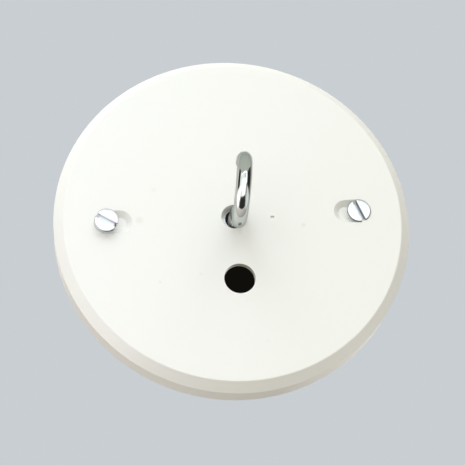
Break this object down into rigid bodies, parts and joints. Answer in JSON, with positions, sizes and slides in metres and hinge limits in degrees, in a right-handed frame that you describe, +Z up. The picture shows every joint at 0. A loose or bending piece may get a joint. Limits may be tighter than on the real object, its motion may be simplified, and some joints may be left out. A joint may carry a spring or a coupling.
{
  "type": "ceiling hook plate",
  "caption": "Round ceiling canopy plate with chamfered rim, swivel wire hook on a steel strap, cord outlet and slotted fixing screws in countersunk obround pockets.",
  "frame": {"origin": "centre of the ceiling plane, midway between the two fixing screws, on the level of the rim's back edge", "axes": "+Z up to the ceiling, X through the two fixing screws, cord outlet towards -Y, face and hook towards -Z"},
  "size_m": [0.085, 0.085, 0.0466],
  "materials": {
    "plate": "moulded white urea, satin",
    "zinc_steel": "bright zinc plate",
    "hook_chrome": "bright chrome plate",
    "screw_zinc": "bright zinc plate",
    "retainer": "natural nylon"
  },
  "bodies": {
    "plate": {"canopy_plate": "plate", "bridge_strap": "zinc_steel", "screw_left": "screw_zinc", "screw_right": "screw_zinc", "retainer_left": "retainer", "retainer_right": "retainer"},
    "hook": {"hook": "hook_chrome", "hook_washer": "zinc_steel", "hook_nut": "zinc_steel", "hook_lock_nut": "zinc_steel"}
  },
  "joints": [
    {"name": "hook_swivel", "type": "hinge", "parent": "plate", "child": "hook", "pos_m": [-0.0007, 0.0006, 0], "axis": [0, 0, 1], "continuous": true}
  ]
}
